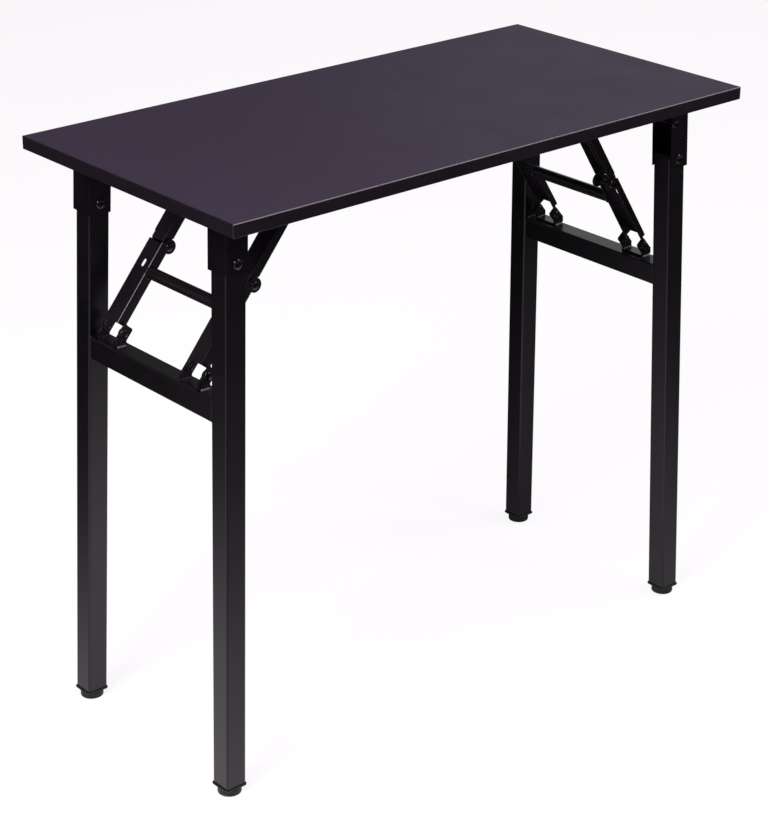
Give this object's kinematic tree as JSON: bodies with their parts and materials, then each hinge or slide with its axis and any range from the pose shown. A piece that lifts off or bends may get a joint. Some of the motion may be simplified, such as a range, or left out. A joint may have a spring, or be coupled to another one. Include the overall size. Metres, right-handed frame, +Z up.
{
  "type": "folding computer desk",
  "caption": "Rectangular board desk on two splayed square-tube leg frames that fold flat under the top, each held by a pair of two-link braces and standing on levelling feet.",
  "frame": {"origin": "centre of the floor rectangle under the desk, at floor level", "axes": "+X along the long side to the right end, +Y to the back, +Z up"},
  "size_m": [0.8, 0.4, 0.733],
  "materials": {
    "board": "satin dark laminate",
    "edge_band": "satin",
    "tube_paint": "satin powder coat",
    "sheet_paint": "satin powder coat",
    "brace_paint": "satin powder coat",
    "rivet": "gloss black",
    "zinc_screw": "zinc plated",
    "foot_plastic": "matte"
  },
  "bodies": {
    "top": {"tabletop_board": "board", "edge_band_front": "edge_band", "edge_band_back": "edge_band", "edge_band_left": "edge_band", "edge_band_right": "edge_band", "leg_sleeve_left_front": "sheet_paint", "leg_sleeve_left_back": "sheet_paint", "leg_sleeve_right_front": "sheet_paint", "leg_sleeve_right_back": "sheet_paint", "sleeve_screws": "zinc_screw", "leg_pivot_rivets": "rivet", "sleeve_spacer_rivets": "rivet", "brace_bracket_left_front": "sheet_paint", "brace_bracket_left_back": "sheet_paint", "brace_bracket_right_front": "sheet_paint", "brace_bracket_right_back": "sheet_paint", "bracket_screws": "zinc_screw", "bracket_rivet_ends": "rivet"},
    "left_leg_frame": {"left_leg_front": "tube_paint", "left_leg_back": "tube_paint", "left_crossbar": "tube_paint", "left_clevis_front": "sheet_paint", "left_clevis_back": "sheet_paint", "left_clevis_rivets": "rivet", "left_foot_plug_front": "foot_plastic", "left_foot_plug_back": "foot_plastic"},
    "left_lower_links": {"left_lower_link_front": "brace_paint", "left_lower_link_back": "brace_paint", "left_tie_bar": "brace_paint", "left_middle_rivets": "rivet"},
    "left_upper_link_front": {"left_upper_link_front": "brace_paint"},
    "left_foot_pad_front": {"left_foot_pad_front": "foot_plastic"},
    "left_upper_link_back": {"left_upper_link_back": "brace_paint"},
    "left_foot_pad_back": {"left_foot_pad_back": "foot_plastic"},
    "right_leg_frame": {"right_leg_front": "tube_paint", "right_leg_back": "tube_paint", "right_crossbar": "tube_paint", "right_clevis_front": "sheet_paint", "right_clevis_back": "sheet_paint", "right_clevis_rivets": "rivet", "right_foot_plug_front": "foot_plastic", "right_foot_plug_back": "foot_plastic"},
    "right_lower_links": {"right_lower_link_front": "brace_paint", "right_lower_link_back": "brace_paint", "right_tie_bar": "brace_paint", "right_middle_rivets": "rivet"},
    "right_upper_link_front": {"right_upper_link_front": "brace_paint"},
    "right_foot_pad_front": {"right_foot_pad_front": "foot_plastic"},
    "right_upper_link_back": {"right_upper_link_back": "brace_paint"},
    "right_foot_pad_back": {"right_foot_pad_back": "foot_plastic"}
  },
  "joints": [
    {"name": "left_leg_fold", "type": "hinge", "parent": "top", "child": "left_leg_frame", "pos_m": [-0.354, 0, 0.663], "axis": [0, -1, 0], "range_deg": [0, 92.61]},
    {"name": "left_lower_links_turn", "type": "hinge", "parent": "left_leg_frame", "child": "left_lower_links", "pos_m": [-0.3581, 0, 0.51504], "axis": [0, -1, 0], "range_deg": [0, 28.53]},
    {"name": "left_upper_link_front_turn", "type": "hinge", "parent": "left_lower_links", "child": "left_upper_link_front", "pos_m": [-0.28541, 0, 0.60416], "axis": [0, -1, 0], "range_deg": [-174.85, 0]},
    {"name": "left_foot_screw_front", "type": "slide", "parent": "left_leg_frame", "child": "left_foot_pad_front", "axis": [0, 0, -1], "range_m": [0, 0.008]},
    {"name": "left_upper_link_back_turn", "type": "hinge", "parent": "left_lower_links", "child": "left_upper_link_back", "pos_m": [-0.28541, 0, 0.60416], "axis": [0, -1, 0], "range_deg": [-174.85, 0]},
    {"name": "left_foot_screw_back", "type": "slide", "parent": "left_leg_frame", "child": "left_foot_pad_back", "axis": [0, 0, -1], "range_m": [0, 0.008]},
    {"name": "right_leg_fold", "type": "hinge", "parent": "top", "child": "right_leg_frame", "pos_m": [0.354, 0, 0.6345], "axis": [0, 1, 0], "range_deg": [0, 92.11]},
    {"name": "right_lower_links_turn", "type": "hinge", "parent": "right_leg_frame", "child": "right_lower_links", "pos_m": [0.35748, 0, 0.50153], "axis": [0, 1, 0], "range_deg": [0, 22.38]},
    {"name": "right_upper_link_front_turn", "type": "hinge", "parent": "right_lower_links", "child": "right_upper_link_front", "pos_m": [0.295, 0, 0.59808], "axis": [0, 1, 0], "range_deg": [-156.63, 0]},
    {"name": "right_foot_screw_front", "type": "slide", "parent": "right_leg_frame", "child": "right_foot_pad_front", "axis": [0, 0, -1], "range_m": [0, 0.008]},
    {"name": "right_upper_link_back_turn", "type": "hinge", "parent": "right_lower_links", "child": "right_upper_link_back", "pos_m": [0.295, 0, 0.59808], "axis": [0, 1, 0], "range_deg": [-156.63, 0]},
    {"name": "right_foot_screw_back", "type": "slide", "parent": "right_leg_frame", "child": "right_foot_pad_back", "axis": [0, 0, -1], "range_m": [0, 0.008]}
  ],
  "couplings": [
    {"joint": "left_lower_links_turn", "follows": "left_leg_fold", "ratio": 0.30802},
    {"joint": "left_upper_link_front_turn", "follows": "left_leg_fold", "ratio": -1.888},
    {"joint": "left_upper_link_back_turn", "follows": "left_leg_fold", "ratio": -1.888},
    {"joint": "right_lower_links_turn", "follows": "right_leg_fold", "ratio": 0.24299},
    {"joint": "right_upper_link_front_turn", "follows": "right_leg_fold", "ratio": -1.7005},
    {"joint": "right_upper_link_back_turn", "follows": "right_leg_fold", "ratio": -1.7005}
  ]
}
